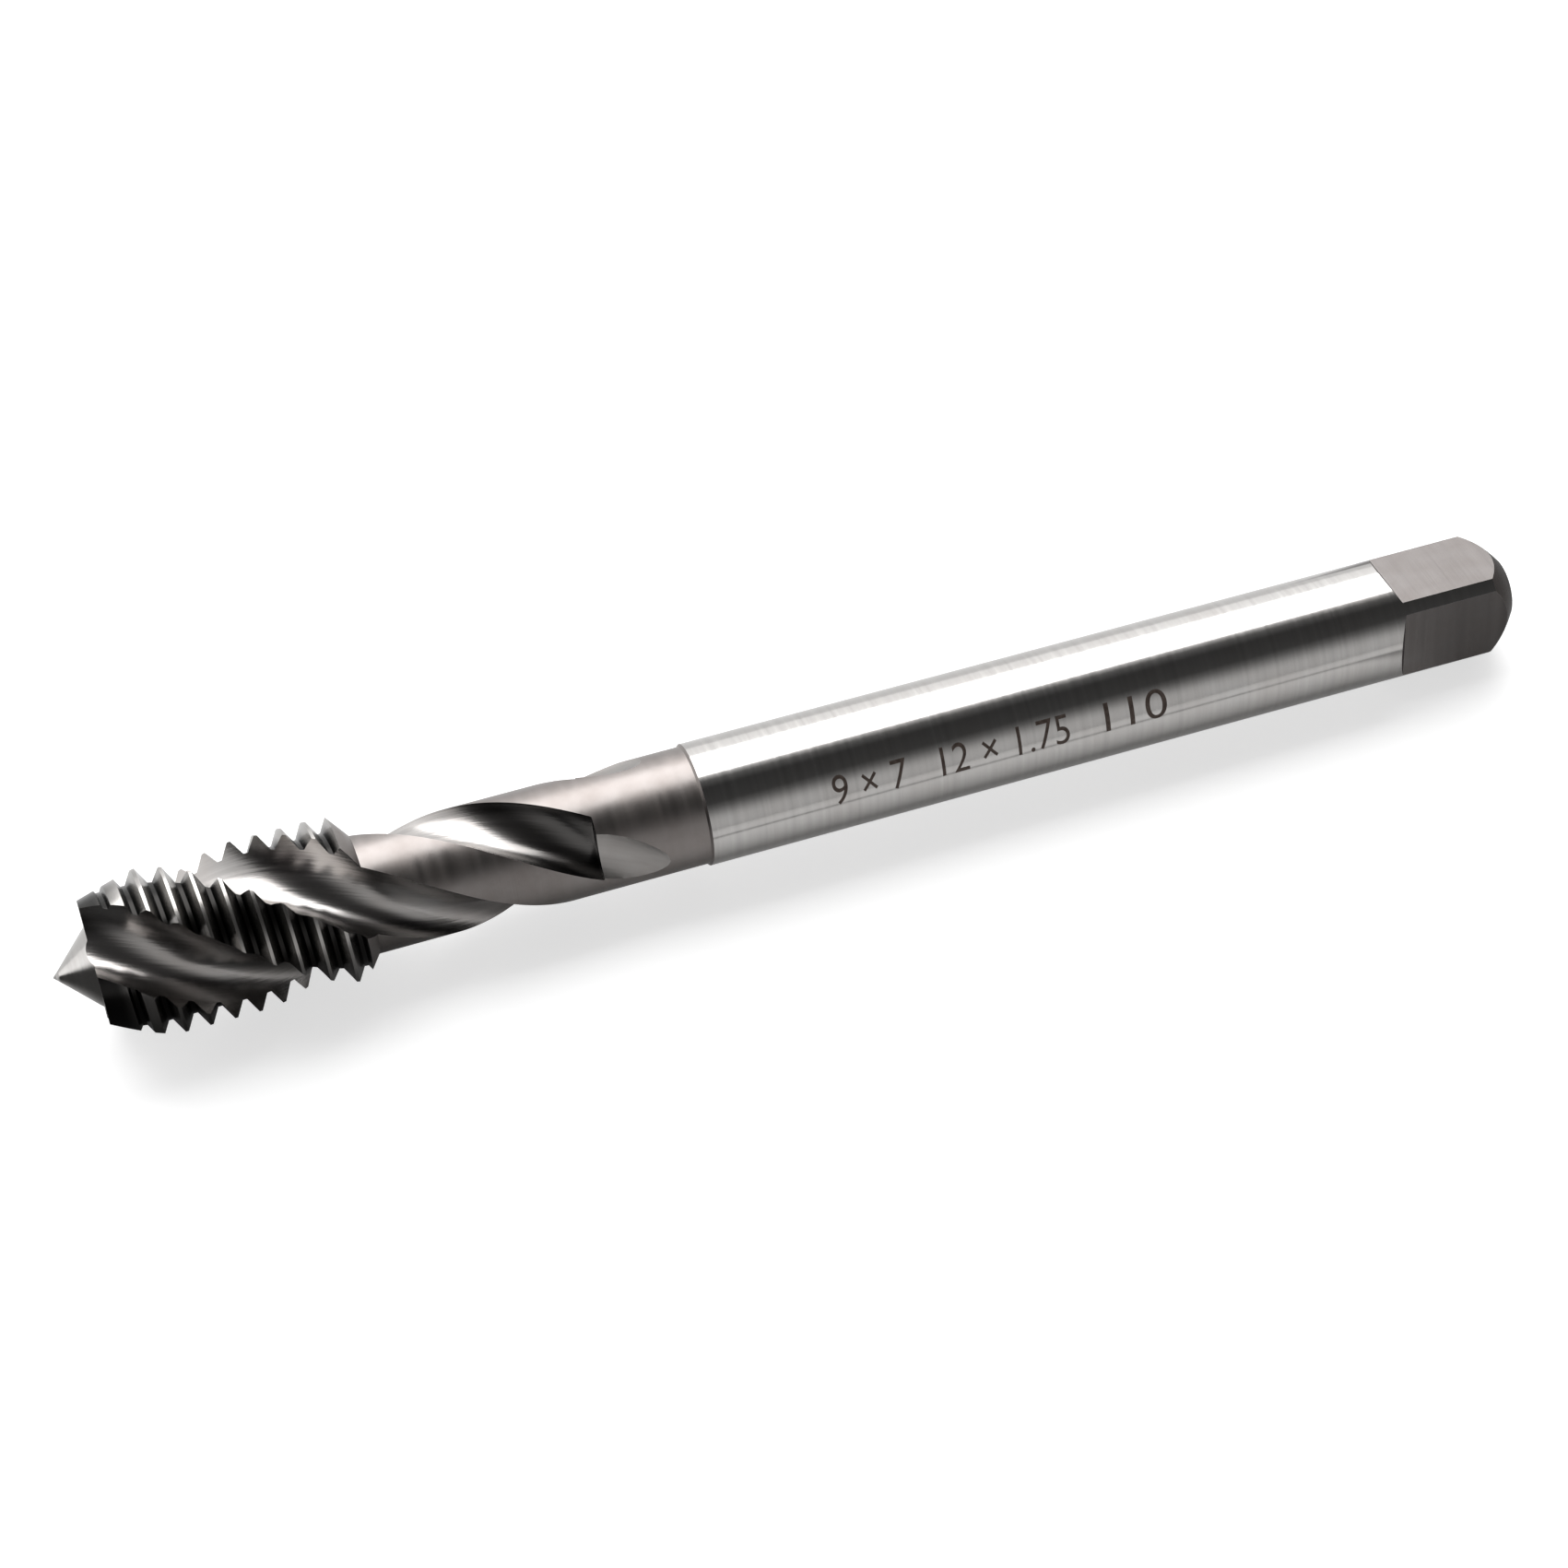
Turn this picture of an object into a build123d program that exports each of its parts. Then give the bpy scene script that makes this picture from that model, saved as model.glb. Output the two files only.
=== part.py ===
from build123d import *
import math
import os

os.makedirs("parts", exist_ok=True)

# A machine tap for M12 x 1.75, ground from one bar of high-speed steel: a short threaded head
# with three right-hand spiral flutes, a slim neck, a ground shank and a driving square.
# It is made upright, its point at Z 0 and its axis on Z, and laid on its side at the end.

# Driving dimensions, in millimetres and degrees
OVERALL_LENGTH = 110.0
THREAD_DIAMETER = 12.0      # M12
THREAD_PITCH = 1.75         # coarse series
THREAD_ANGLE = 60.0         # ISO metric profile
THREAD_END = 20.8           # last full crest
SHOULDER_END = 22.1         # foot of the slope behind the thread
POINT_HEIGHT = 2.9          # male centre in front of the teeth, 90 degrees included
LEAD_DIAMETER = 9.5         # the teeth start small and reach full height
LEAD_LENGTH = 4.4           # over two and a half threads
NECK_DIAMETER = 8.65
NECK_END = 46.4
SHANK_DIAMETER = 9.0
SQUARE_FLATS = 7.0          # across flats
SQUARE_LENGTH = 9.35
SQUARE_RUNOUT = 0.7         # the flats start with a slope, left by the milling cutter
END_CHAMFER = 2.1           # 45 degrees, round the driving end
END_CROWN = 15.0            # radius of the slight crown that turning leaves on it
CENTRE_DRILL = 1.6          # centre hole in the driving end, with a 60 degree countersink
CENTRE_SINK = 3.35
CENTRE_DEPTH = 4.0
FLUTE_COUNT = 3
FLUTE_LEAD = 45.0           # one turn in 45 mm, 40 degrees of helix at the thread diameter
FLUTE_WIDTH = 68.4          # degrees, at the thread diameter
FLUTE_END = 38.5
CORE_DIAMETER = 5.2         # metal left between the flutes
RAKE_ANGLE = 11.0           # hook of the cutting face
HOOK_RADIUS = 2.4           # flute floor on the side of the cutting face
BACK_RADIUS = 5.6           # flute floor on the side of the land behind
BACK_ARC = 55.0
FLOOR_ANGLE = 25.3          # deepest line of the flute, behind the cutting edge
WHEEL_DIAMETER = 80.0       # the grinding wheel leaves a shallow scoop behind each flute
WHEEL_WIDTH = 4.8
SCOOP_DEPTH = 0.55
SCOOP_CENTRE = 38.0
SCOOP_ANGLE = 24.0          # middle of the scoop, behind the cutting edge

# How the features sit round the axis
EDGE_START = 76.3           # first cutting edge at the point
THREAD_OFFSET = 0.3         # height of the thread groove at angle 0, within one pitch
FIRST_TURN = 1
LAST_TURN = 11
SQUARE_TURN = 30.2          # corner of the driving square

# Worked out from the driving dimensions
THREAD_RADIUS = THREAD_DIAMETER / 2
NECK_RADIUS = NECK_DIAMETER / 2
SHANK_RADIUS = SHANK_DIAMETER / 2
CORE_RADIUS = CORE_DIAMETER / 2
SLOPE = math.tan(math.radians(THREAD_ANGLE / 2))
ROOT_RADIUS = THREAD_RADIUS - THREAD_PITCH / 2 / SLOPE * 17 / 24
ROOT_FLAT = THREAD_PITCH / 6
PITCH_RADIUS = (THREAD_RADIUS + ROOT_RADIUS) / 2
SQUARE_START = OVERALL_LENGTH - SQUARE_LENGTH
LYING_TILT = math.degrees(math.atan((THREAD_RADIUS - SHANK_RADIUS) / (SQUARE_START - THREAD_END)))
CLEAR = 0.1                 # cutters reach this far past the metal that they remove
FLUTE_CLEAR = 2.0
FLUTE_PERIOD = 360 / FLUTE_COUNT
LEAD_ANGLE = math.degrees(math.atan(THREAD_PITCH / (2 * math.pi * PITCH_RADIUS)))
GROOVE_ARC = FLUTE_PERIOD - 4       # degrees, from one open flute to the next
GROOVE_MOUTH = ROOT_FLAT + 2 * (THREAD_RADIUS + CLEAR - ROOT_RADIUS) * SLOPE


def edge_angle(height):
    """Where the first cutting edge stands at a height, as the flutes turn right-handed."""
    return EDGE_START + 360 * height / FLUTE_LEAD


def land_angle(height, land):
    """Middle of a land at a height."""
    return edge_angle(height) + (FLUTE_PERIOD - FLUTE_WIDTH) / 2 + land * FLUTE_PERIOD


# The blank as it comes off the lathe
with BuildPart() as tap:
    with BuildSketch(Plane.XZ):
        with BuildLine():
            end_flat = (SHANK_RADIUS - END_CHAMFER, OVERALL_LENGTH)
            Polyline(
                end_flat,
                (0, OVERALL_LENGTH),
                (0, 0),
                (POINT_HEIGHT, POINT_HEIGHT),
                (LEAD_DIAMETER / 2, POINT_HEIGHT),
                (THREAD_RADIUS, POINT_HEIGHT + LEAD_LENGTH),
                (THREAD_RADIUS, THREAD_END),
                (NECK_RADIUS, SHOULDER_END),
                (NECK_RADIUS, NECK_END),
                (SHANK_RADIUS, NECK_END + SHANK_RADIUS - NECK_RADIUS),
                (SHANK_RADIUS, OVERALL_LENGTH - END_CHAMFER),
            )
            RadiusArc((SHANK_RADIUS, OVERALL_LENGTH - END_CHAMFER), end_flat, -END_CROWN)
        make_face()
    revolve(axis=Axis.Z)

    # Driving square: four flats milled on the round shank, so its corners stay round
    for flat in range(4):
        facing = SQUARE_TURN + 45 + flat * 90
        with BuildSketch(Plane.XZ.rotated((0, 0, facing))):
            with BuildLine():
                Polyline(
                    (SQUARE_FLATS / 2, SQUARE_START),
                    (SQUARE_FLATS / 2, OVERALL_LENGTH + CLEAR),
                    (SHANK_DIAMETER, OVERALL_LENGTH + CLEAR),
                    (SHANK_DIAMETER, SQUARE_START - (SHANK_DIAMETER - SQUARE_FLATS / 2) * SQUARE_RUNOUT),
                    (SQUARE_FLATS / 2, SQUARE_START),
                )
            make_face()
        extrude(amount=SHANK_DIAMETER, both=True, mode=Mode.SUBTRACT)

    # Centre hole in the driving end, on which the tap is turned and ground
    with Locations((0, 0, OVERALL_LENGTH)):
        CounterSinkHole(CENTRE_DRILL / 2, CENTRE_SINK / 2, CENTRE_DEPTH, 60)

    # Spiral flutes: a hooked section, turned about the axis as it runs up it
    for flute in range(FLUTE_COUNT):
        turn = edge_angle(-FLUTE_CLEAR) + flute * FLUTE_PERIOD
        with BuildSketch(Plane.XY.offset(-FLUTE_CLEAR).rotated((0, 0, turn))):
            with BuildLine():
                floor = PolarLine((0, 0), CORE_RADIUS, -FLOOR_ANGLE, mode=Mode.PRIVATE) @ 1
                across = Vector(0, 1).rotate(Axis.Z, -FLOOR_ANGLE)
                hook = JernArc(floor, across, HOOK_RADIUS, FLOOR_ANGLE - 90 - RAKE_ANGLE)
                face = PolarLine(hook @ 1, THREAD_RADIUS / 2, -RAKE_ANGLE)
                back = JernArc(floor, -across, BACK_RADIUS, BACK_ARC)
                outside = PolarLine((0, 0), THREAD_DIAMETER * 0.7, -30, mode=Mode.PRIVATE) @ 1
                Polyline(face @ 1, outside, back @ 1)
            make_face()
        with BuildLine(mode=Mode.PRIVATE) as path:
            Helix(FLUTE_LEAD, FLUTE_END + FLUTE_CLEAR, CORE_RADIUS, center=(0, 0, -FLUTE_CLEAR))
        sweep(path=path.line, is_frenet=True, mode=Mode.SUBTRACT)

    # Where the grinding wheel leaves, each flute ends in a shallow scoop along its own helix
    helix_angle = math.degrees(math.atan(math.pi * THREAD_DIAMETER / FLUTE_LEAD))
    for flute in range(FLUTE_COUNT):
        middle = edge_angle(SCOOP_CENTRE) - SCOOP_ANGLE + flute * FLUTE_PERIOD
        outward = Vector(1, 0, 0).rotate(Axis.Z, middle)
        along = Vector(0, 0, 1).rotate(Axis((0, 0, 0), tuple(outward)), -helix_angle)
        wheel_centre = outward * (NECK_RADIUS - SCOOP_DEPTH + WHEEL_DIAMETER / 2) + Vector(0, 0, SCOOP_CENTRE)
        with BuildSketch(Plane(wheel_centre, x_dir=along, z_dir=outward.cross(along))):
            Circle(WHEEL_DIAMETER / 2)
        extrude(amount=WHEEL_WIDTH / 2, both=True, mode=Mode.SUBTRACT)

    # Thread grooves. The flutes break the thread into lands, so each turn of the groove is made as
    # three arcs, one for each land. Every arc is turned about an axis tipped by the lead angle of
    # the thread, and it starts and ends in an open flute.
    for land in range(FLUTE_COUNT):
        for turn in range(FIRST_TURN, LAST_TURN + 1):
            fraction = turn + land_angle(0, land) / 360
            middle = (fraction * THREAD_PITCH + THREAD_OFFSET) / (1 - THREAD_PITCH / FLUTE_LEAD)
            radial = Vector(1, 0, 0).rotate(Axis.Z, land_angle(middle, land))
            axis = Vector(0, 0, 1).rotate(Axis((0, 0, 0), tuple(radial)), LEAD_ANGLE)
            ring = Plane((0, 0, middle), x_dir=radial, z_dir=axis)
            start = ring.rotated((0, 0, -GROOVE_ARC / 2))
            with BuildSketch(Plane(start.origin, x_dir=start.x_dir, z_dir=-start.y_dir)):
                with BuildLine():
                    Polyline(
                        (ROOT_RADIUS, -ROOT_FLAT / 2),
                        (THREAD_RADIUS + CLEAR, -GROOVE_MOUTH / 2),
                        (THREAD_RADIUS + CLEAR, GROOVE_MOUTH / 2),
                        (ROOT_RADIUS, ROOT_FLAT / 2),
                        (ROOT_RADIUS, -ROOT_FLAT / 2),
                    )
                make_face()
            revolve(axis=Axis(ring.origin, ring.z_dir), revolution_arc=GROOVE_ARC, mode=Mode.SUBTRACT)

# Laid on its side: the head is thicker than the shank, so the point stands a little high
resting = tap.part.rotate(Axis.Y, 90 + LYING_TILT)
reach = resting.bounding_box()
lying_tap = Pos(-reach.center().X, -reach.center().Y, -reach.min.Z) * resting
lying_tap.label = "tap"
export_step(lying_tap, "parts/tap.step")
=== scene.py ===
# %% [markdown]
# # A machine tap, lying on its side
# A tap cuts an internal thread in a drilled hole. This one is ground from a single bar of
# high-speed steel: a threaded head with three spiral flutes, a neck, a ground shank and a driving
# square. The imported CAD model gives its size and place, and this lesson models it again finely
# enough for close looks, in the same frame and in metres.

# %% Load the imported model
import math
import bmesh
import bpy
from mathutils import Matrix, Vector


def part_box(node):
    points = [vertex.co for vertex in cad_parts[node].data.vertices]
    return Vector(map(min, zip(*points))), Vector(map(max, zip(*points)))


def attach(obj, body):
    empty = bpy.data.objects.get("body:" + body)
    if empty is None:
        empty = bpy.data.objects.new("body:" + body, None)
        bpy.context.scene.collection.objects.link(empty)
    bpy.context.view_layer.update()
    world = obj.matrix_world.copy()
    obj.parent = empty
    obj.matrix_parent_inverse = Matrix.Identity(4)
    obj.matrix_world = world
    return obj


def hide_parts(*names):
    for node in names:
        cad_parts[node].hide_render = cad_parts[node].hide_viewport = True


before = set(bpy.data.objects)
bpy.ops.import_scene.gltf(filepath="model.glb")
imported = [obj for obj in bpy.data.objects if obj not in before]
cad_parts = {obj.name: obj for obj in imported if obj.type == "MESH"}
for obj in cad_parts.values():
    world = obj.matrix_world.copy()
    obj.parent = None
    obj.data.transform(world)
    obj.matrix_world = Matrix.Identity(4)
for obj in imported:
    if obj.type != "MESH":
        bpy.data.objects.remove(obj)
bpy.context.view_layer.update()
tap_low, tap_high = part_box("tap")
print("CAD box in mm:", [round(1000 * (high - low), 2) for low, high in zip(tap_low, tap_high)])

# %% [markdown]
# ## The dimensions
# The length, shank, square and thread have the standard sizes of an M12 x 1.75 machine tap.
# Lengths are in metres. Angles are in degrees, apart from the lying tilt, which is in radians. The
# tap is modelled upright, its point at the origin and its axis on Z, because every cut on the real
# one is made about that axis, and it is laid down at the end.

# %% Dimensions
mm = 0.001
overall_length = 110 * mm
thread_radius = 6 * mm
thread_pitch = 1.75 * mm
thread_end = 20.8 * mm
shoulder_end = 22.1 * mm
thread_root = 4.926 * mm
root_flat = 0.29 * mm
point_height = 2.9 * mm
lead_radius = 4.75 * mm
lead_length = 4.4 * mm
neck_radius = 4.325 * mm
neck_end = 46.4 * mm
shank_radius = 4.5 * mm
square_start = 100.65 * mm
half_square = 3.5 * mm
end_chamfer = 2.1 * mm
flute_lead = 45 * mm
flute_end = 38.5 * mm
core_radius = 2.6 * mm
flute_count = 3
flute_spacing = 360 / flute_count
edge_start = 76.3
thread_offset = 0.3 * mm
square_turn = 30.2
lying_tilt = math.atan((thread_radius - shank_radius) / (square_start - thread_end))
print("lying tilt in degrees:", round(math.degrees(lying_tilt), 3))

# %% [markdown]
# ## Seven finishes on one bar
# The same steel looks different wherever another machine touched it. The finishes are made empty
# here and filled in later, because a boolean keeps the finish of each face only where the blank
# and the cutter both carry the same list of materials.

# %% Name the finishes
GROUND, DULL, FLUTE, THREAD, FLAT, TURNED, RUN_OUT = range(7)
finishes = [bpy.data.materials.new(name) for name in
            ("ground_shank", "dull_neck", "ground_flute", "ground_thread", "milled_flat",
             "turned_end", "wheel_run_out")]
print("finishes:", [finish.name for finish in finishes])

# %% [markdown]
# ## Helpers for turning and cutting
# A lathe turns a profile about the axis, and a bmesh spin does the same with a chain of edges. A
# grinding wheel that also travels along the axis leaves a helix. Spin does that too when it is
# given a small step along Z, so one helper makes round blanks and spiral cutters alike.

# %% Helpers
ROUND_STEPS = 180


def chain(bm, points, closed=False):
    """Joins points with edges, in a ring if closed, and returns the edges."""
    verts = [bm.verts.new(p) for p in points]
    pairs = list(zip(verts, verts[1:] + verts[:1] if closed else verts[1:]))
    return [bm.edges.new(pair) for pair in pairs]


def as_object(bm, name):
    """Makes the bmesh a named object at the origin."""
    mesh = bpy.data.meshes.new(name)
    bm.to_mesh(mesh)
    bm.free()
    made = bpy.data.objects.new(name, mesh)
    bpy.context.scene.collection.objects.link(made)
    return made


def turned(name, profile, steps=ROUND_STEPS):
    """A closed round solid from a profile of (radius, height) pairs that starts and ends on Z."""
    bm = bmesh.new()
    edges = chain(bm, [(r, 0, z) for r, z in profile])
    bmesh.ops.spin(bm, geom=edges + bm.verts[:], cent=(0, 0, 0), axis=(0, 0, 1),
                   angle=math.tau, steps=steps, use_merge=True)
    bmesh.ops.remove_doubles(bm, verts=bm.verts, dist=1e-7)
    bmesh.ops.dissolve_degenerate(bm, edges=bm.edges, dist=1e-8)
    bmesh.ops.recalc_face_normals(bm, faces=bm.faces)
    return as_object(bm, name)


def screwed(bm, edges, turn, rise, steps):
    """Carries a closed loop of edges round Z while it climbs, and closes both ends."""
    bmesh.ops.contextual_create(bm, geom=edges)
    made = bmesh.ops.spin(bm, geom=edges + bm.verts[:], cent=(0, 0, 0), axis=(0, 0, 1),
                          dvec=(0, 0, rise / steps), angle=turn, steps=steps)
    last = [e for e in made["geom_last"] if isinstance(e, bmesh.types.BMEdge)]
    bmesh.ops.contextual_create(bm, geom=last)
    bmesh.ops.recalc_face_normals(bm, faces=bm.faces)


def cut(blank, tool, finish):
    """Takes the tool away from the blank. The new faces get the given finish."""
    for steel_finish in finishes:
        tool.data.materials.append(steel_finish)
    for face in tool.data.polygons:
        face.material_index = finish
    modifier = blank.modifiers.new("cut", "BOOLEAN")
    modifier.operation = "DIFFERENCE"
    modifier.solver = "EXACT"
    modifier.object = tool
    shaped = bpy.data.meshes.new_from_object(
        blank.evaluated_get(bpy.context.evaluated_depsgraph_get()))
    blank.modifiers.clear()
    old = blank.data
    blank.data = shaped
    bpy.data.meshes.remove(old)
    bpy.data.objects.remove(tool)
    return len(shaped.polygons)


# %% [markdown]
# ## The blank
# The whole tap is first turned as one round bar: a male centre at the point, a cone for the
# tapered lead, the thread's outside diameter, a shoulder down to the neck, and the shank with its
# chamfered end. The profile is a chain of edges, and close rings along the straight parts keep the
# faces short, so that smooth shading stays clean beside the cuts that follow.

# %% Turn the blank


def along(start, end, count):
    """Points from start up to, but not including, end."""
    return [tuple(a + (b - a) * i / count for a, b in zip(start, end)) for i in range(count)]


crown_steps, crown_bulge, diagonal = 6, 0.1 * mm, 0.7
crown = []
for i in range(crown_steps + 1):
    share = i / crown_steps
    bulge = crown_bulge * math.sin(math.pi * share)
    crown.append((shank_radius - end_chamfer * share + bulge * diagonal,
                  overall_length - end_chamfer * (1 - share) + bulge * diagonal))
corners = [(0, 0), (point_height, point_height), (lead_radius, point_height),
           (thread_radius, point_height + lead_length), (thread_radius, thread_end),
           (neck_radius, shoulder_end), (neck_radius, neck_end),
           (shank_radius, neck_end + shank_radius - neck_radius), crown[0]]
ring_counts = [6, 4, 12, 40, 4, 60, 1, 60]
profile = [point for start, end, count in zip(corners, corners[1:], ring_counts)
           for point in along(start, end, count)]
profile += crown + [(0, overall_length)]
tap = turned("tap_body", profile)
for finish in finishes:
    tap.data.materials.append(finish)
step_height, hair = 0.18 * mm, 0.01 * mm
for face in tap.data.polygons:
    height = face.center.z
    face.material_index = (TURNED if height > overall_length - end_chamfer
                           else GROUND if height > neck_end + step_height
                           or height < point_height + hair
                           else THREAD if point_height < height < thread_end else DULL)
print("blank:", len(tap.data.polygons), "faces")

# %% [markdown]
# ## The spiral flutes
# Three flutes run up the head in right-handed spirals and carry the chips away. Each has a hooked
# section: a tight arc under the cutting edge and a wider arc on the side of the land behind. The
# section is spun from one vertex about the two arc centres, just as a wheel would be dressed, and
# is then screwed up the axis.

# %% Cut the flutes


def arc(bm, start, centre, turn, steps):
    """Spins one vertex into an arc in the XY plane and returns the vertex at its end."""
    seed = bm.verts.new(start)
    made = bmesh.ops.spin(bm, geom=[seed], cent=centre, axis=(0, 0, 1),
                          angle=math.radians(turn), steps=steps)
    return made["geom_last"][0]


def polar(radius, angle):
    """The point at a radius and an angle in the XY plane."""
    angle = math.radians(angle)
    return Vector((radius * math.cos(angle), radius * math.sin(angle), 0))


floor_angle, rake, hook_radius, back_radius = -25.3, 11.0, 2.4 * mm, 5.6 * mm
hook_steps, back_turn, back_steps, spiral_steps = 16, 55, 20, 216
outside_radius, outside_angle = 8.4 * mm, -30
run_in = 2 * mm
for flute in range(flute_count):
    bm = bmesh.new()
    floor_point = polar(core_radius, floor_angle)
    hook_end = arc(bm, floor_point, polar(core_radius + hook_radius, floor_angle),
                   -(90 + floor_angle + rake), hook_steps)
    back_end = arc(bm, floor_point, polar(core_radius + back_radius, floor_angle),
                   back_turn, back_steps)
    lip = bm.verts.new(hook_end.co + polar(thread_radius / 2, -rake))
    outside = bm.verts.new(polar(outside_radius, outside_angle))
    for pair in ((hook_end, lip), (lip, outside), (outside, back_end)):
        bm.edges.new(pair)
    bmesh.ops.remove_doubles(bm, verts=bm.verts, dist=1e-8)
    first = edge_start + flute_spacing * flute - 360 * run_in / flute_lead
    bmesh.ops.rotate(bm, verts=bm.verts, matrix=Matrix.Rotation(math.radians(first), 3, "Z"))
    bmesh.ops.translate(bm, verts=bm.verts, vec=(0, 0, -run_in))
    rise = flute_end + run_in
    screwed(bm, bm.edges[:], math.tau * rise / flute_lead, rise, spiral_steps)
    print("flute", flute + 1, cut(tap, as_object(bm, "flute_wheel"), FLUTE), "faces")

# %% [markdown]
# ## The wheel's run-out
# Where the big grinding wheel leaves the bar it digs a shallow scoop into the neck. The wheel is a
# disc with a rounded rim, set along the spiral. Because both the rim and the neck are round, the
# scoop comes out as a lens with curved edges, and the flute takes away its near half.

# %% Cut the run-outs
wheel_radius, wheel_width, rim_radius, scoop_depth = 30 * mm, 5.2 * mm, 3 * mm, 0.8 * mm
scoop_height, scoop_angle = 39.6 * mm, 27.0
helix = math.atan(math.tau * thread_radius / flute_lead)
rim_steps, wheel_steps = 12, 720
rim = []
for i in range(rim_steps + 1):
    across = wheel_width * (i / rim_steps - 0.5)
    rim.append((wheel_radius - rim_radius + math.sqrt(rim_radius ** 2 - across ** 2), across))
for flute in range(flute_count):
    wheel = turned("scoop_wheel", [(0, rim[0][1])] + rim + [(0, rim[-1][1])], steps=wheel_steps)
    turn = edge_start + 360 * scoop_height / flute_lead - scoop_angle + flute_spacing * flute
    wheel.data.transform(
        Matrix.Rotation(math.radians(turn), 4, "Z")
        @ Matrix.Translation((neck_radius - scoop_depth + wheel_radius, 0, scoop_height))
        @ Matrix.Rotation(math.pi / 2 - helix, 4, "X"))
    print("run-out", flute + 1, cut(tap, wheel, RUN_OUT), "faces")

# %% [markdown]
# ## The thread
# The thread is one V groove of 60 degrees, ground as a helix with a pitch of 1.75 mm. The groove's
# section is four points, wide at the outside and narrow at the root, and screwing it up the axis
# thirteen times round leaves the sharp teeth standing on the lands between the flutes.

# %% Cut the thread
bm = bmesh.new()
thread_turns, steps_per_turn = 13, 120
half_angle = math.radians(30)
above_crest = 0.1 * mm
mouth_radius = thread_radius + above_crest
half_root = root_flat / 2
half_mouth = half_root + (mouth_radius - thread_root) * math.tan(half_angle)
groove = chain(bm, [(thread_root, 0, -half_root), (mouth_radius, 0, -half_mouth),
                    (mouth_radius, 0, half_mouth), (thread_root, 0, half_root)], closed=True)
bmesh.ops.translate(bm, verts=bm.verts, vec=(0, 0, thread_offset))
screwed(bm, groove, math.tau * thread_turns, thread_pitch * thread_turns,
        thread_turns * steps_per_turn)
print("thread:", cut(tap, as_object(bm, "thread_wheel"), THREAD), "faces")

# %% [markdown]
# ## The driving square
# Four flats milled on the end of the shank let a wrench turn the tap. The round shank still shows
# as narrow strips at the corners. Each flat is one block, and its front face leans back a little,
# as a milling cutter leaves it.

# %% Mill the square
half_block, overrun, front_lean = 9 * mm, 1 * mm, 0.7 * 5.5 * mm
for side in range(4):
    bm = bmesh.new()
    block = chain(bm, [(half_square, -half_block, square_start),
                       (half_square, -half_block, overall_length + overrun),
                       (half_block, -half_block, overall_length + overrun),
                       (half_block, -half_block, square_start - front_lean)], closed=True)
    cap = bmesh.ops.contextual_create(bm, geom=block)["faces"]
    pulled = bmesh.ops.extrude_face_region(bm, geom=cap, use_keep_orig=True)["geom"]
    bmesh.ops.translate(bm, verts=[v for v in pulled if isinstance(v, bmesh.types.BMVert)],
                        vec=(0, 2 * half_block, 0))
    bmesh.ops.recalc_face_normals(bm, faces=bm.faces)
    bmesh.ops.rotate(bm, verts=bm.verts,
                     matrix=Matrix.Rotation(math.radians(square_turn + 45 + 90 * side), 3, "Z"))
    print("flat", side + 1, cut(tap, as_object(bm, "milling_block"), FLAT), "faces")

# %% [markdown]
# ## The centre hole
# The tap was turned and ground between centres, so its driving end has a small drilled hole with a
# 60 degree mouth. A turned plug of that shape is taken off.

# %% Drill the centre
drill_depth, drill_radius = 4 * mm, 0.8 * mm
cone_depth, cone_radius, cone_above = 1.516 * mm, 1.791 * mm, 0.2 * mm
plug = turned("centre_drill", [(0, overall_length - drill_depth),
                               (drill_radius, overall_length - drill_depth),
                               (drill_radius, overall_length - cone_depth),
                               (cone_radius, overall_length + cone_above),
                               (0, overall_length + cone_above)])
print("centre hole:", cut(tap, plug, TURNED), "faces")

# %% [markdown]
# ## Laying it down
# The thread is thicker than the shank, so the tap lies on its teeth and its shank with the point a
# little high. Turning and moving the mesh itself, and not the object, leaves the object at the
# origin. Edges sharper than 28 degrees are marked, so that cuts stay crisp and turned faces
# smooth. So are the borders between two finishes, where a shallow cut meets the round at a small
# angle.

# %% Lay the tap down
tip = Vector((tap_low.x, 0,
              square_start * math.sin(lying_tilt) + shank_radius * math.cos(lying_tilt)))
laid = Matrix.Translation(tip) @ Matrix.Rotation(math.pi / 2 + lying_tilt, 4, "Y")
tap.data.transform(laid)
tap.data.shade_smooth()
sharp_angle = math.radians(28)
tap.data.set_sharp_from_angle(angle=sharp_angle)
bm = bmesh.new()
bm.from_mesh(tap.data)
for edge in bm.edges:
    if len({face.material_index for face in edge.link_faces}) > 1:
        edge.smooth = False
bm.to_mesh(tap.data)
bm.free()
print("tap:", len(tap.data.polygons), "faces")
for index, finish in enumerate(finishes):
    print("  ", finish.name, sum(face.material_index == index for face in tap.data.polygons))

# %% [markdown]
# ## The size marks
# Taps carry their size on the shank, etched with a dark, thin line. The marks here are plain
# numbers: shank and square, thread size, and length. Each is a text made into a mesh with a hair
# of thickness, sliced into narrow strips, and then wrapped round the shank.

# %% Etch the marks
etch_depth = 0.03 * mm
etch_stand = 0.004 * mm
capital_share, stroke_trim = 0.7, -0.01 * mm
strips, spare_strips = 20, 2
mark_angle, mark_height = 34.5, 2.3 * mm


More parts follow.
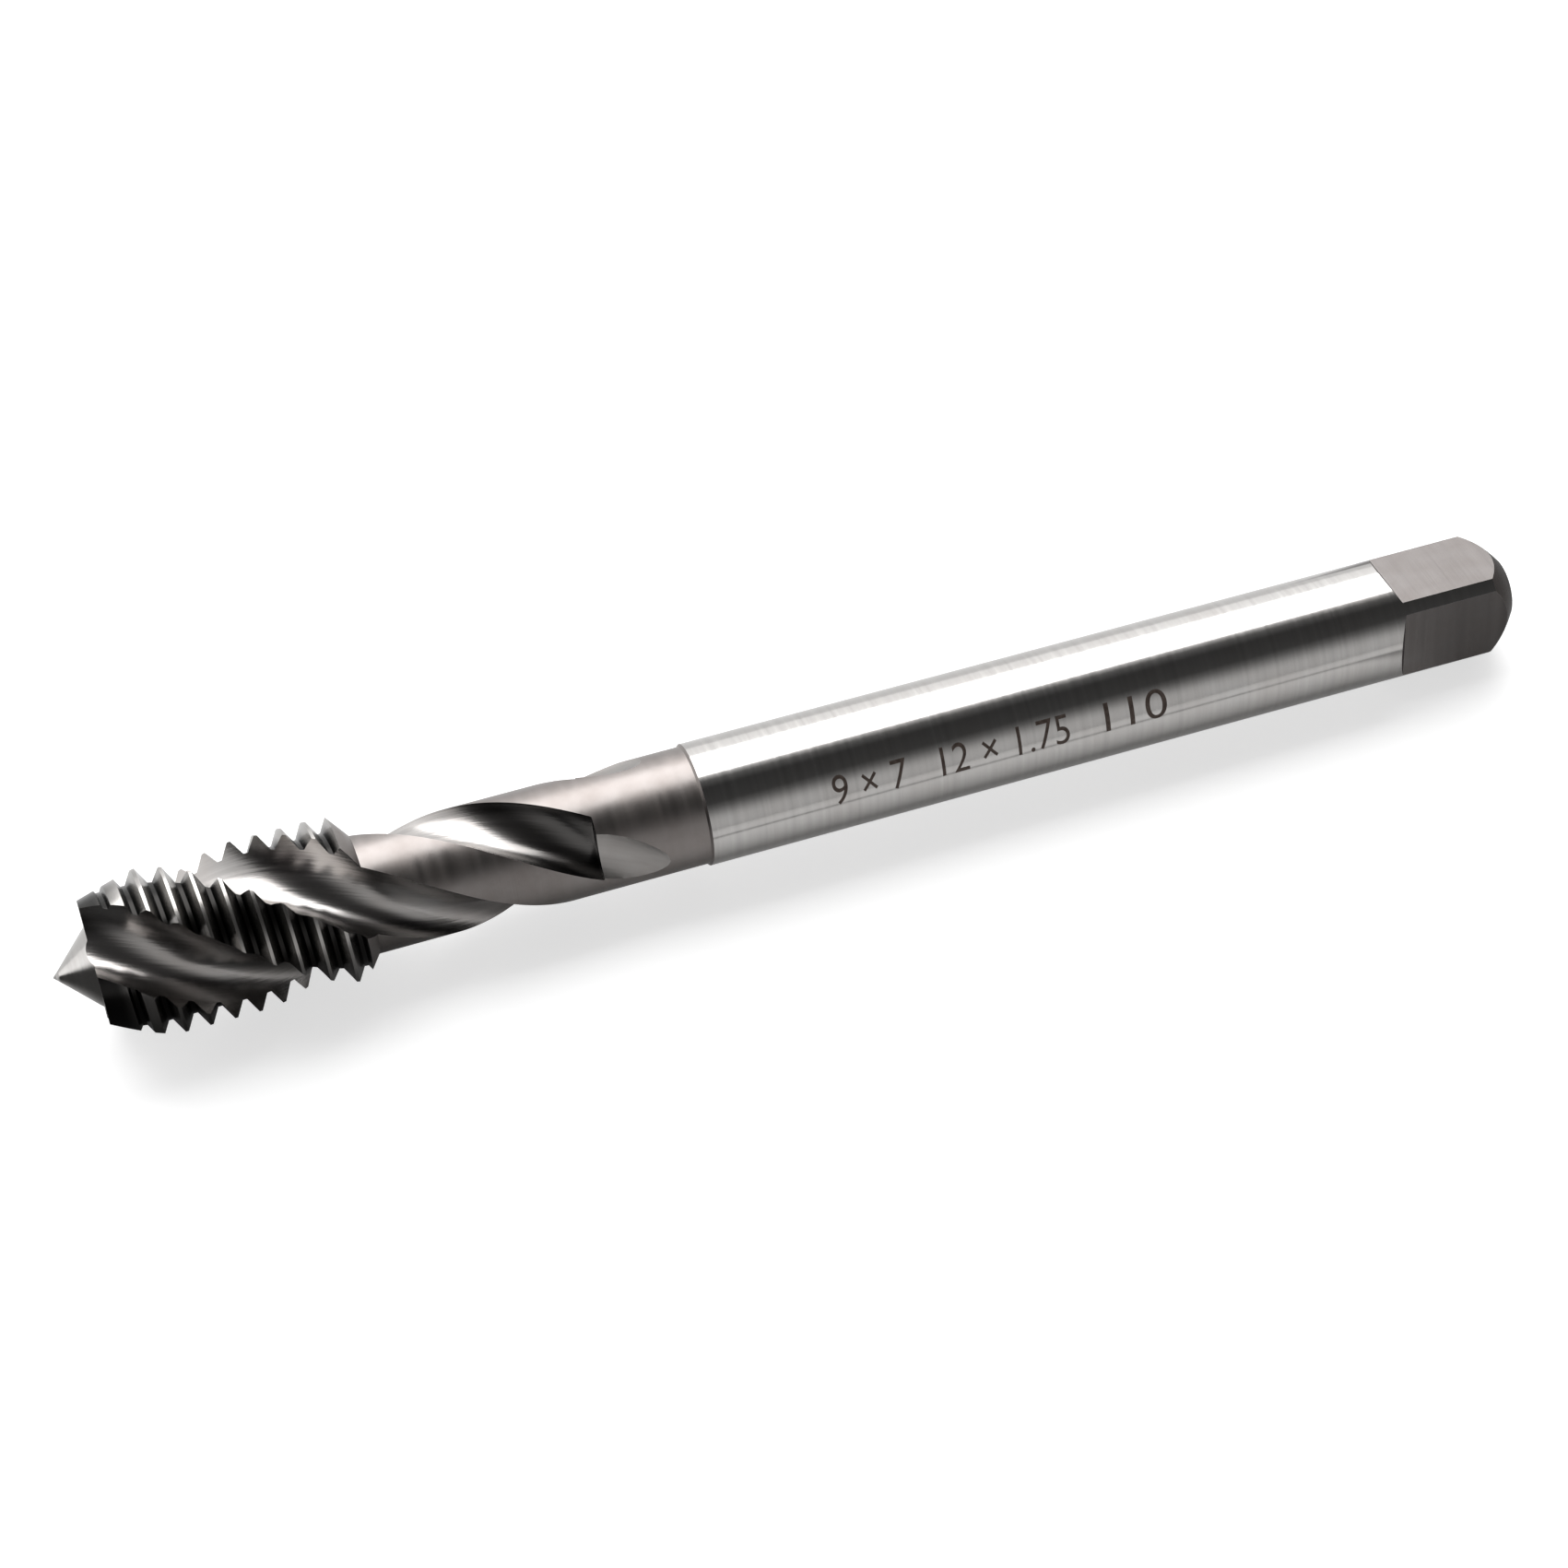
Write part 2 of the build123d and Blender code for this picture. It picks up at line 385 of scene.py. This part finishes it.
def etched(text, start, end, middle, height):
    """Text between two distances from the point, wrapped on the shank at an angle."""
    letters = bpy.data.curves.new("letters", "FONT")
    letters.body = text
    letters.size = height / capital_share
    letters.offset = stroke_trim
    letters.extrude = (etch_depth + etch_stand) / 2
    shown = bpy.data.objects.new("letters", letters)
    bpy.context.scene.collection.objects.link(shown)
    flat = bpy.data.meshes.new_from_object(
        shown.evaluated_get(bpy.context.evaluated_depsgraph_get()))
    bm = bmesh.new()
    bm.from_mesh(flat)
    bpy.data.objects.remove(shown)
    bpy.data.curves.remove(letters)
    bpy.data.meshes.remove(flat)
    bmesh.ops.remove_doubles(bm, verts=bm.verts, dist=1e-8)
    for strip in range(-spare_strips, strips + spare_strips):
        bmesh.ops.bisect_plane(bm, geom=bm.verts[:] + bm.edges[:] + bm.faces[:], dist=1e-9,
                               plane_co=(0, height * strip / strips, 0), plane_no=(0, 1, 0))
    left, right = min(v.co.x for v in bm.verts), max(v.co.x for v in bm.verts)
    for vert in bm.verts:
        across, up, out = vert.co
        across = (across - left) / (right - left) * (end - start)
        radius = shank_radius + etch_stand - (etch_depth + etch_stand) / 2 + out
        angle = 270 - middle - math.degrees((up - height / 2) / shank_radius)
        vert.co = Vector((0, 0, start + across)) + polar(radius, angle)
    bmesh.ops.recalc_face_normals(bm, faces=bm.faces)
    return bm


marks = bmesh.new()
for text, start, end in (("9 × 7", 55.7 * mm, 61.3 * mm), ("12 × 1.75", 63.9 * mm, 73.7 * mm),
                         ("110", 76.5 * mm, 81.3 * mm)):
    wrapped = etched(text, start, end, mark_angle, mark_height)
    part = bpy.data.meshes.new("part")
    wrapped.to_mesh(part)
    wrapped.free()
    marks.from_mesh(part)
    bpy.data.meshes.remove(part)
bmesh.ops.transform(marks, matrix=laid, verts=marks.verts)
size_marks = as_object(marks, "size_marks")
print("marks:", len(size_marks.data.polygons), "faces")

# %% [markdown]
# ## Helpers for materials
# A material is a graph of small nodes. The helpers here add a node, set its inputs and link it in
# one call, so that a recipe reads from top to bottom. What several finishes share becomes a node
# group with named inputs and outputs.

# %% Node helpers


def group(name, inputs, outputs):
    """A node group with named sockets; the float inputs get default values."""
    tree = bpy.data.node_groups.new(name, "ShaderNodeTree")
    for label, value in inputs.items():
        socket = tree.interface.new_socket(label, in_out="INPUT", socket_type="NodeSocketFloat")
        socket.default_value = value
    for label, kind in outputs.items():
        tree.interface.new_socket(label, in_out="OUTPUT", socket_type=kind)
    return tree, tree.nodes.new("NodeGroupInput"), tree.nodes.new("NodeGroupOutput")


def node(tree, kind, settings=None, **sockets):
    """Adds a node, sets its properties, and sets or links its inputs by name or number."""
    made = tree.nodes.new(kind)
    for key, value in (settings or {}).items():
        setattr(made, key, value)
    for key, value in sockets.items():
        socket = made.inputs[int(key[1:])] if key[0] == "i" and key[1:].isdigit() \
            else made.inputs[key.replace("_", " ")]
        if isinstance(value, bpy.types.NodeSocket):
            tree.links.new(value, socket)
        else:
            socket.default_value = value
    return made


def maths(tree, operation, a, b=0.0):
    return node(tree, "ShaderNodeMath", {"operation": operation}, i0=a, i1=b).outputs[0]


def fade(tree, value, low, high):
    """Goes smoothly from 0 to 1 while the value goes from low to high."""
    return node(tree, "ShaderNodeMapRange", {"interpolation_type": "SMOOTHSTEP"}, i0=value,
                i1=low, i2=high).outputs[0]


def mixed(tree, factor, first, second):
    """The colour between two others, by a factor from 0 to 1."""
    return node(tree, "ShaderNodeMix", {"data_type": "RGBA"}, i0=factor, i6=first,
                i7=second).outputs[2]


def scaled(tree, vector, share):
    """Every part of a colour or vector times one value."""
    return node(tree, "ShaderNodeVectorMath", {"operation": "SCALE"}, i0=vector,
                Scale=share).outputs[0]


def use(tree, shared, **values):
    """Places a node group in a tree with its own values."""
    return node(tree, "ShaderNodeGroup", {"node_tree": shared}, **values)


# %% [markdown]
# ## Coordinates for the finishes
# Every finish on a tap follows its axis: turning and grinding marks run round it, and the marks in
# the flutes run along their spiral. This group turns the object's own coordinates so that X is the
# distance from the point, and untwists the head so that a flute becomes a straight line. It also
# gives the distance along the axis and the radius from it. The other groups are built on it.

# %% Axis coordinates
axis_tree, _, axis_out = group("tap_axis", {}, {"Straight": "NodeSocketVector",
                                                      "Untwisted": "NodeSocketVector",
                                                      "Along": "NodeSocketFloat",
                                                      "Radius": "NodeSocketFloat"})
turn_back = Matrix.Rotation(-lying_tilt, 3, "Y")
where = node(axis_tree, "ShaderNodeTexCoord").outputs["Object"]
straight = node(axis_tree, "ShaderNodeMapping", Vector=where, Rotation=(0, -lying_tilt, 0),
                Location=-(turn_back @ tip)).outputs[0]
along_axis = node(axis_tree, "ShaderNodeSeparateXYZ", Vector=straight).outputs[0]
twist = maths(axis_tree, "MULTIPLY", along_axis, -math.tau / flute_lead)
untwisted = node(axis_tree, "ShaderNodeVectorRotate", {"rotation_type": "X_AXIS"},
                 Vector=straight, Angle=twist).outputs[0]
axis_tree.links.new(straight, axis_out.inputs["Straight"])
axis_tree.links.new(untwisted, axis_out.inputs["Untwisted"])
axis_tree.links.new(along_axis, axis_out.inputs["Along"])
flattened = node(axis_tree, "ShaderNodeVectorMath", {"operation": "MULTIPLY"}, i0=straight,
                 i1=(0, 1, 1)).outputs[0]
radius = node(axis_tree, "ShaderNodeVectorMath", {"operation": "LENGTH"},
              i0=flattened).outputs["Value"]
axis_tree.links.new(radius, axis_out.inputs["Radius"])
print("axis group:", len(axis_tree.nodes), "nodes")

# %% [markdown]
# ## Grinding lines
# Ground steel has very fine parallel lines, some deeper than others. Noise that is stretched far
# in one direction makes them. The group can stretch it round the axis, as on the shank, or along
# the flutes, where the wheel went.

# %% Grinding lines
lines_tree, lines_in, lines_out = group(
    "grinding_lines", {"Across": 9000.0, "Lengthwise": 90.0, "Deep Lines": 0.5, "Spiral": 0.0},
    {"Height": "NodeSocketFloat", "Shine": "NodeSocketFloat"})
axis_use = use(lines_tree, axis_tree)
# round the axis: quick change along X; along the flute: quick change across it
stretch_round = node(lines_tree, "ShaderNodeCombineXYZ", X=lines_in.outputs["Across"],
                     Y=lines_in.outputs["Lengthwise"], Z=lines_in.outputs["Lengthwise"]).outputs[0]
stretch_flute = node(lines_tree, "ShaderNodeCombineXYZ", X=lines_in.outputs["Lengthwise"],
                     Y=lines_in.outputs["Across"], Z=lines_in.outputs["Across"]).outputs[0]
lines_round = node(lines_tree, "ShaderNodeVectorMath", {"operation": "MULTIPLY"},
                   i0=axis_use.outputs["Straight"], i1=stretch_round).outputs[0]
lines_flute = node(lines_tree, "ShaderNodeVectorMath", {"operation": "MULTIPLY"},
                   i0=axis_use.outputs["Untwisted"], i1=stretch_flute).outputs[0]
chosen = node(lines_tree, "ShaderNodeMix", {"data_type": "VECTOR"},
              i0=lines_in.outputs["Spiral"], i4=lines_round, i5=lines_flute).outputs[1]
fine = node(lines_tree, "ShaderNodeTexNoise", Vector=chosen, Scale=1.0, Detail=3.0,
            Roughness=0.6).outputs[0]
coarse = node(lines_tree, "ShaderNodeTexNoise", Vector=chosen, Scale=0.21, Detail=2.0,
              Roughness=0.5).outputs[0]
deep = maths(lines_tree, "POWER", coarse, 3.0)
deep = maths(lines_tree, "MULTIPLY", deep, lines_in.outputs["Deep Lines"])
lines_tree.links.new(maths(lines_tree, "ADD", fine, deep), lines_out.inputs["Height"])
lines_tree.links.new(coarse, lines_out.inputs["Shine"])
print("lines group:", len(lines_tree.nodes), "nodes")

# %% [markdown]
# ## Blotches
# Oil and handling change the shine of steel a little from place to place. A soft cloud of noise
# gives that, and each finish chooses its scale and its range.

# %% Blotches
blotch_tree, blotch_in, blotch_out = group("blotches", {"Scale": 300.0, "Low": 0.0, "High": 1.0},
                                           {"Value": "NodeSocketFloat"})
axis_use = use(blotch_tree, axis_tree)
cloud = node(blotch_tree, "ShaderNodeTexNoise", Vector=axis_use.outputs["Straight"],
             Scale=blotch_in.outputs["Scale"], Detail=4.0, Roughness=0.55).outputs[0]
spread = node(blotch_tree, "ShaderNodeMapRange", Value=cloud, i1=0.3, i2=0.7,
              i3=blotch_in.outputs["Low"], i4=blotch_in.outputs["High"]).outputs[0]
blotch_tree.links.new(spread, blotch_out.inputs["Value"])
print("blotch group:", len(blotch_tree.nodes), "nodes")

# %% [markdown]
# ## Worn edges and painted edge highlights
# Wear leaves a bright line along an edge, and a rounded edge would catch a highlight there. This
# group paints both as one bright line in the colour, so the line is partly wear and partly painted
# highlight. It compares each face with a slightly rounded one: where the two point different ways,
# there is an edge. Blotches break the line up, because real wear is never even.

# %% Worn edges and painted edge highlights
edge_width, flat_match, edge_match = 0.0001, 0.985, 0.85
edge_tree, edge_in, edge_out = group("worn_and_highlighted_edges", {"Width": edge_width},
                                     {"Mask": "NodeSocketFloat"})
rounded = node(edge_tree, "ShaderNodeBevel", {"samples": 4},
               Radius=edge_in.outputs["Width"]).outputs[0]
surface = node(edge_tree, "ShaderNodeNewGeometry").outputs["Normal"]
match = node(edge_tree, "ShaderNodeVectorMath", {"operation": "DOT_PRODUCT"}, i0=rounded,
             i1=surface).outputs["Value"]
patchy = use(edge_tree, blotch_tree, Scale=900.0, Low=0.4, High=1.0).outputs[0]
edge = fade(edge_tree, match, flat_match, edge_match)
edge_tree.links.new(maths(edge_tree, "MULTIPLY", edge, patchy), edge_out.inputs["Mask"])
print("groups:", [g.name for g in bpy.data.node_groups])

# %% [markdown]
# ## One recipe for steel
# All the finishes are the same bare steel, so they share one recipe: a metal whose colour,
# roughness and fine relief come from the groups. Two options change the colour with place. A
# threaded finish is darkened with painted shade at the bottom of the thread, and its bright edges,
# both wear and painted highlight, are kept to its crests. The other option paints shade into the
# flute, darkening it towards the flute's end.

# %% The steel recipe
# the colour of the bright edges: worn steel and painted highlight in one
wear_and_highlight_steel = (0.55, 0.54, 0.52, 1)
# painted shade near the flute's end: how deep it goes, and where it starts and where it is full
end_shade_depth, end_shade_start, end_shade_full = 0.68, flute_end - 8.5 * mm, flute_end - 2.5 * mm
# painted shade at the bottom of the thread: the share of colour left at the root, and the radii
# where it fades out
root_shine, root_dark, root_clear = 0.06, thread_root + 0.1 * mm, thread_root + 0.75 * mm
crest_low, crest_high = thread_root + 0.5 * mm, thread_radius - 0.1 * mm


def steel(slot, tone, roughness, lines, bump, spiral=0.0, across=9000.0, deep=0.5,
          blotch=(300.0, 0.12), stain=(0.8, 0.74, 0.7), streaks=0.06, wear_and_highlight=0.5,
          threaded=False, painted_end_shade=False):
    """Fills one finish: its colour, its shine, and how its lines, blotches and edges show."""
    finishes[slot].use_nodes = True
    tree = finishes[slot].node_tree
    shader = tree.nodes["Principled BSDF"]
    shader.inputs["Metallic"].default_value = 1.0
    marks_use = use(tree, lines_tree, Across=across, Lengthwise=lines, Deep_Lines=deep,
                    Spiral=spiral)
    blotch_scale, blotch_share = blotch
    cloud = use(tree, blotch_tree, Scale=blotch_scale, Low=0.0, High=1.0).outputs[0]
    dirt = maths(tree, "MULTIPLY", cloud, blotch_share * 2)
    stained = (*[t * s for t, s in zip(tone, stain)], 1)
    streak = node(tree, "ShaderNodeMapRange", Value=marks_use.outputs["Shine"], i1=0.3, i2=0.7,
                  i3=1 - streaks, i4=1 + streaks).outputs[0]
    colour = scaled(tree, mixed(tree, dirt, (*tone, 1), stained), streak)
    # bright edges: a painted highlight along every edge, which also stands for wear
    edge_wear_and_highlight = maths(tree, "MULTIPLY", use(tree, edge_tree, Width=edge_width).outputs[0], wear_and_highlight)
    # painted shade: the flute's colour darkens towards the flute's end
    if painted_end_shade:
        distance = use(tree, axis_tree).outputs["Along"]
        end_unshaded_share = maths(tree, "SUBTRACT", 1.0, maths(
            tree, "MULTIPLY", end_shade_depth, fade(tree, distance, end_shade_start, end_shade_full)))
        colour = scaled(tree, colour, end_unshaded_share)
    # painted shade in the thread's grooves, and the bright edges kept to the crests
    if threaded:
        radius = use(tree, axis_tree).outputs["Radius"]
        painted_groove_shade = maths(tree, "ADD", root_shine, maths(
            tree, "MULTIPLY", 1 - root_shine, fade(tree, radius, root_dark, root_clear)))
        colour = scaled(tree, colour, painted_groove_shade)
        edge_wear_and_highlight = maths(tree, "MULTIPLY", edge_wear_and_highlight, fade(tree, radius, crest_low, crest_high))
    tree.links.new(mixed(tree, edge_wear_and_highlight, colour, wear_and_highlight_steel), shader.inputs["Base Color"])
    rough = node(tree, "ShaderNodeMapRange", Value=marks_use.outputs["Shine"], i1=0.25, i2=0.75,
                 i3=roughness * 0.8, i4=roughness * 1.2).outputs[0]
    rough = maths(tree, "ADD", rough, maths(tree, "MULTIPLY", dirt, roughness * 0.6))
    tree.links.new(rough, shader.inputs["Roughness"])
    relief = node(tree, "ShaderNodeBump", Height=marks_use.outputs["Height"], Strength=1.0,
                  Distance=bump)
    tree.links.new(relief.outputs[0], shader.inputs["Normal"])


# %% [markdown]
# ## The steel finishes
# The shank is ground bright, and the neck is left duller. The flutes and the run-outs are ground
# along their spiral, the square is milled, and the driving end is turned and dark. Each line gives
# the colour, the roughness, the length of the lines and the depth of their relief in metres.

# %% Build the steels
steel(GROUND, (0.47, 0.46, 0.45), 0.115, 60.0, 0.0000035, streaks=0.08)
steel(DULL, (0.235, 0.217, 0.209), 0.32, 120.0, 0.00001, across=5000.0, deep=0.9,
      blotch=(500.0, 0.2), wear_and_highlight=0.2)
steel(FLUTE, (0.34, 0.33, 0.322), 0.20, 150.0, 0.00001, spiral=1.0, across=6000.0,
      deep=0.9, stain=(0.78, 0.66, 0.6), streaks=0.1, painted_end_shade=True)
steel(THREAD, (0.37, 0.36, 0.35), 0.22, 150.0, 0.000008, across=7000.0, wear_and_highlight=0.9,
      threaded=True)
steel(FLAT, (0.163, 0.152, 0.148), 0.34, 200.0, 0.00001, across=4000.0, deep=0.8,
      blotch=(600.0, 0.15), streaks=0.1, wear_and_highlight=0.3)
steel(TURNED, (0.10, 0.086, 0.08), 0.26, 200.0, 0.00001, across=5000.0, deep=0.8,
      wear_and_highlight=0.2)
steel(RUN_OUT, (0.31, 0.297, 0.288), 0.30, 150.0, 0.00001, spiral=1.0, across=5000.0, deep=0.9,
      streaks=0.14, wear_and_highlight=0.2)
print("steel nodes:", [len(finish.node_tree.nodes) for finish in finishes])

# %% [markdown]
# ## The etched marks' colour
# Etching leaves the steel dark brown and rough. Fine blotches keep the strokes from looking
# printed.

# %% Darken the marks
etched_ink = bpy.data.materials.new("etched_mark")
etched_ink.use_nodes = True
tree = etched_ink.node_tree
shader = tree.nodes["Principled BSDF"]
shader.inputs["Metallic"].default_value = 0.6
cloud = use(tree, blotch_tree, Scale=2500.0, Low=0.0, High=1.0).outputs[0]
ink = mixed(tree, cloud, (0.045, 0.03, 0.024, 1), (0.11, 0.085, 0.072, 1))
tree.links.new(ink, shader.inputs["Base Color"])
ink_rough = node(tree, "ShaderNodeMapRange", Value=cloud, i3=0.45, i4=0.65).outputs[0]
tree.links.new(ink_rough, shader.inputs["Roughness"])
size_marks.data.materials.append(etched_ink)
print("mark nodes:", len(tree.nodes))

# %% [markdown]
# ## The floor
# Bright metal shows nothing but its surroundings, so they are what lights it. The floor is pale.
# Painted dark reflections are laid into its colour, and only reflections see them: a dark patch at
# the left in front, a weaker one at the right, and a narrow line in front that draws the thin dark
# line low on the shank. The camera sees the floor nearly white, with the tap's shadow.

# %% Lay the floor
# how deep the dark zones go: the floor's painted dark reflections and the world's dark directions
dark_zone_depth, right_share, line_share = 0.93, 0.7, 0.6
mirror_glow, camera_glow = 0.18, 0.46
bm = bmesh.new()
bmesh.ops.create_grid(bm, x_segments=1, y_segments=1, size=1.5)
floor = as_object(bm, "floor")

paper = bpy.data.materials.new("pale_floor")
paper.use_nodes = True
tree = paper.node_tree
tree.nodes.remove(tree.nodes["Principled BSDF"])
path = node(tree, "ShaderNodeLightPath")
# 1 for rays from the camera, from a mirror and through glass, and 0 for light
seen = maths(tree, "MAXIMUM", path.outputs["Is Camera Ray"], path.outputs["Is Glossy Ray"])
seen = maths(tree, "MAXIMUM", seen, path.outputs["Is Transmission Ray"])
place = node(tree, "ShaderNodeSeparateXYZ",
             Vector=node(tree, "ShaderNodeTexCoord").outputs["Object"])
floor_x, floor_y = place.outputs[0], place.outputs[1]
# painted dark reflections: patches in the floor's colour that only mirror rays see, at the left in
# front and at the right
left = maths(tree, "MULTIPLY", fade(tree, floor_x, -8 * mm, -45 * mm),
             fade(tree, floor_y, 5 * mm, -5 * mm))
right = maths(tree, "MULTIPLY", fade(tree, floor_x, 46.5 * mm, 53 * mm),
              fade(tree, floor_y, -34 * mm, -28 * mm))
right = maths(tree, "MULTIPLY", right, fade(tree, floor_y, 34 * mm, 28 * mm))
painted_dark_reflection = maths(tree, "MAXIMUM", left, maths(tree, "MULTIPLY", right, right_share))
# a painted dark line in the floor, seen only in reflections, which draws the thin dark line low on
# the shank
painted_reflection_line = maths(tree, "MULTIPLY", fade(tree, floor_y, -24 * mm, -26 * mm),
                  fade(tree, floor_y, -32 * mm, -29 * mm))
painted_dark_reflection = maths(tree, "MAXIMUM", painted_dark_reflection, maths(tree, "MULTIPLY", painted_reflection_line, line_share))
painted_dark_reflection = maths(tree, "MULTIPLY", painted_dark_reflection, path.outputs["Is Glossy Ray"])
bare = maths(tree, "SUBTRACT", 1.0, maths(tree, "MULTIPLY", painted_dark_reflection, dark_zone_depth))
matt = node(tree, "ShaderNodeBsdfDiffuse", Color=scaled(tree, (0.62, 0.62, 0.62), bare))
glow_strength = maths(tree, "MULTIPLY", maths(tree, "MULTIPLY", seen, mirror_glow), bare)
glow_strength = maths(tree, "ADD", glow_strength,
                      maths(tree, "MULTIPLY", path.outputs["Is Camera Ray"], camera_glow))
glow = node(tree, "ShaderNodeEmission", Color=(1, 1, 1, 1), Strength=glow_strength)
both = node(tree, "ShaderNodeAddShader", i0=matt.outputs[0], i1=glow.outputs[0])
tree.links.new(both.outputs[0], tree.nodes["Material Output"].inputs[0])
floor.data.materials.append(paper)
print("floor nodes:", len(tree.nodes))

# %% [markdown]
# ## The walls
# The world is a strip of levels that goes from the front, over the top, to the back: a pale wall
# in front, a dark gap overhead, which draws the dark band along the shank, and a bright wall
# behind. Dark cards at the left in front and at the right keep the grooves and the ends dark. The
# camera itself sees plain white.

# %% Build the walls
wall_gain = 2.0
stops = [(0, 0.62), (8, 0.70), (18, 0.68), (25, 0.56), (33, 0.34), (41, 0.17),
         (50, 0.07), (80, 0.05), (94, 0.15), (104, 0.9), (150, 1.8), (180, 1.5)]
world = bpy.data.worlds.new("studio")
world.use_nodes = True
tree = world.node_tree
path = node(tree, "ShaderNodeLightPath")
heading = node(tree, "ShaderNodeSeparateXYZ",
               Vector=node(tree, "ShaderNodeTexCoord").outputs["Generated"])
toward = maths(tree, "MULTIPLY", heading.outputs[1], -1.0)
above = maths(tree, "MAXIMUM", heading.outputs[2], 0.0)
height = maths(tree, "ARCTAN2", above, toward)
ramp = node(tree, "ShaderNodeValToRGB", Fac=maths(tree, "DIVIDE", height, math.pi))
ramp.color_ramp.elements[0].position = 0
ramp.color_ramp.elements[1].position = 1
while len(ramp.color_ramp.elements) < len(stops):
    ramp.color_ramp.elements.new(0.5)
for element, (angle, level) in zip(ramp.color_ramp.elements, stops):
    element.position = angle / 180
    element.color = (level / wall_gain, level / wall_gain, level / wall_gain, 1)
left = maths(tree, "MULTIPLY", fade(tree, heading.outputs[0], -0.45, -0.7),
             fade(tree, heading.outputs[1], 0.15, -0.1))
dark = maths(tree, "MAXIMUM", left, fade(tree, heading.outputs[0], 0.55, 0.8))
lit = maths(tree, "SUBTRACT", wall_gain, maths(tree, "MULTIPLY", dark, wall_gain * dark_zone_depth))
wall = node(tree, "ShaderNodeBackground", Color=ramp.outputs[0], Strength=lit)
white = node(tree, "ShaderNodeBackground", Color=(1, 1, 1, 1), Strength=1.0)
shown = node(tree, "ShaderNodeMixShader", i0=path.outputs["Is Camera Ray"], i1=wall.outputs[0],
             i2=white.outputs[0])
tree.links.new(shown.outputs[0], tree.nodes["World Output"].inputs[0])
bpy.context.scene.world = world
print("world nodes:", len(tree.nodes))

# %% [markdown]
# ## The soft panel
# One large lamp above and a little behind lays the broad white band along the shank. It is an area
# lamp, because a small one would only draw a thin glint on so bright a round. Its power follows
# from its size, so that its brightness stays the same if it is made larger.

# %% Soft panel
panel = bpy.data.lights.new("soft_panel", "AREA")
panel.shape = "RECTANGLE"
panel.size, panel.size_y = 0.72, 0.55
panel_radiance = 3.4
panel.energy = panel_radiance * math.pi * panel.size * panel.size_y
lamp = bpy.data.objects.new("soft_panel", panel)
bpy.context.scene.collection.objects.link(lamp)
panel_angle, panel_distance = math.radians(128), 0.6
lamp.location = (0, -panel_distance * math.cos(panel_angle),
                 panel_distance * math.sin(panel_angle))
lamp.rotation_euler = (-lamp.location).to_track_quat("-Z", "Y").to_euler()
print("panel:", round(panel.energy, 2), "W")

# %% [markdown]
# ## The camera
# A long lens looks down on the tap from the front, a little from the point's side. Its focal
# length is known in pixels, and the width of the frame in pixels turns that into millimetres on
# the sensor.

# %% Camera
focal_pixels, frame_pixels, camera_distance = 3921.08, 1701, 260.35
lens = bpy.data.cameras.new("camera")
lens.sensor_width = 36
lens.lens = lens.sensor_width * focal_pixels / frame_pixels
camera = bpy.data.objects.new("camera", lens)
bpy.context.scene.collection.objects.link(camera)
look_from = Vector((-0.18665, -0.54237, 0.81915))
target = Vector((-1.69, 0, 4.96)) * mm
camera.location = target + look_from * camera_distance * mm
camera.rotation_euler = look_from.to_track_quat("Z", "Y").to_euler()
bpy.context.scene.camera = camera
bpy.context.scene.view_settings.view_transform = "Standard"
print("camera at", [round(v * 1000, 1) for v in camera.location], "mm")

# %% [markdown]
# ## Tying it to the CAD model
# The modelled tap takes the place of the CAD solid and rides on the same body, and the marks ride
# with it.

# %% Finish
for piece in (tap, size_marks):
    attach(piece, "root")
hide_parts("tap")
